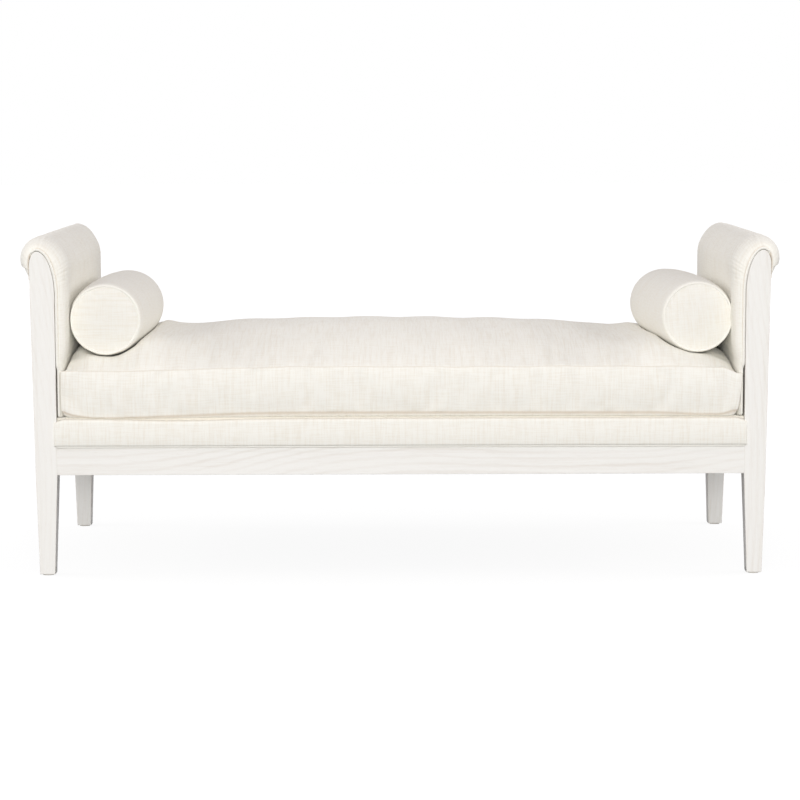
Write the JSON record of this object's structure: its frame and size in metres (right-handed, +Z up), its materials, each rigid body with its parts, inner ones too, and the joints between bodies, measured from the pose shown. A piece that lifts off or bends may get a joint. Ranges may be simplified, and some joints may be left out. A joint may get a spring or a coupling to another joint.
{
  "type": "backless divan",
  "caption": "Backless upholstered bench seat with padded arms that roll outwards, a loose crowned seat cushion, round bolsters and a tapered-leg wooden frame.",
  "frame": {"origin": "on the floor, under the middle of the bench", "axes": "+Z up, +X along the length towards the right arm, the front at -Y; front and rear are alike"},
  "size_m": [1.6368, 0.7, 0.728],
  "materials": {
    "oak": "whitewashed oak, matt",
    "linen": "cream slub linen",
    "frame_wood": "raw poplar",
    "foam": "open-cell foam",
    "fibre": "polyester fibre",
    "steel": "plain wire and screws",
    "zip_metal": "plated",
    "zip_tape": "woven tape with a moulded coil",
    "jute": "burlap",
    "hardboard": "pressed board",
    "dust_cloth": "black nonwoven",
    "nylon": "moulded"
  },
  "bodies": {
    "bench": {"front_left_post": "oak", "front_right_post": "oak", "rear_left_post": "oak", "rear_right_post": "oak", "front_rail": "oak", "rear_rail": "oak", "left_end_rail": "oak", "right_end_rail": "oak", "rail_dowels": "frame_wood", "corner_blocks": "frame_wood", "leg_bolts": "steel", "foot_glides": "nylon", "deck_front_rail": "frame_wood", "deck_rear_rail": "frame_wood", "deck_left_rail": "frame_wood", "deck_right_rail": "frame_wood", "deck_brace": "frame_wood", "deck_screws": "steel", "seat_springs": "steel", "spring_clips": "steel", "tie_wires": "steel", "burlap": "jute", "deck_pad": "foam", "deck_cover": "linen", "dust_cover": "dust_cloth", "front_border": "linen", "rear_border": "linen", "front_border_welt": "linen", "rear_border_welt": "linen", "left_arm_top_rail": "frame_wood", "right_arm_top_rail": "frame_wood", "left_arm_low_rail": "frame_wood", "right_arm_low_rail": "frame_wood", "left_arm_board": "hardboard", "right_arm_board": "hardboard", "left_roll_core": "foam", "right_roll_core": "foam", "left_arm_pad": "foam", "right_arm_pad": "foam", "left_arm_cover": "linen", "right_arm_cover": "linen", "left_arm_front_welt": "linen", "right_arm_front_welt": "linen", "left_arm_rear_welt": "linen", "right_arm_rear_welt": "linen", "left_outside_panel": "linen", "right_outside_panel": "linen", "arm_dowels": "frame_wood"},
    "seat_cushion": {"cushion_cover": "linen", "cushion_wrap": "fibre", "cushion_core": "foam", "cushion_zip": "zip_tape"},
    "zip_slider": {"zip_slider": "zip_metal"},
    "left_bolster": {"left_bolster_cover": "linen", "left_bolster_core": "fibre", "left_bolster_welts": "linen"},
    "right_bolster": {"right_bolster_cover": "linen", "right_bolster_core": "fibre", "right_bolster_welts": "linen"}
  },
  "joints": [
    {"name": "cushion_lift", "type": "slide", "parent": "bench", "child": "seat_cushion", "axis": [0, 0, 1], "range_m": [0, 0.3]},
    {"name": "left_bolster_lift", "type": "slide", "parent": "seat_cushion", "child": "left_bolster", "axis": [0, 0, 1], "range_m": [0, 0.25]},
    {"name": "right_bolster_lift", "type": "slide", "parent": "seat_cushion", "child": "right_bolster", "axis": [0, 0, 1], "range_m": [0, 0.25]},
    {"name": "zip_slide", "type": "slide", "parent": "seat_cushion", "child": "zip_slider", "axis": [-1, 0, 0], "range_m": [0, 1.165]}
  ]
}
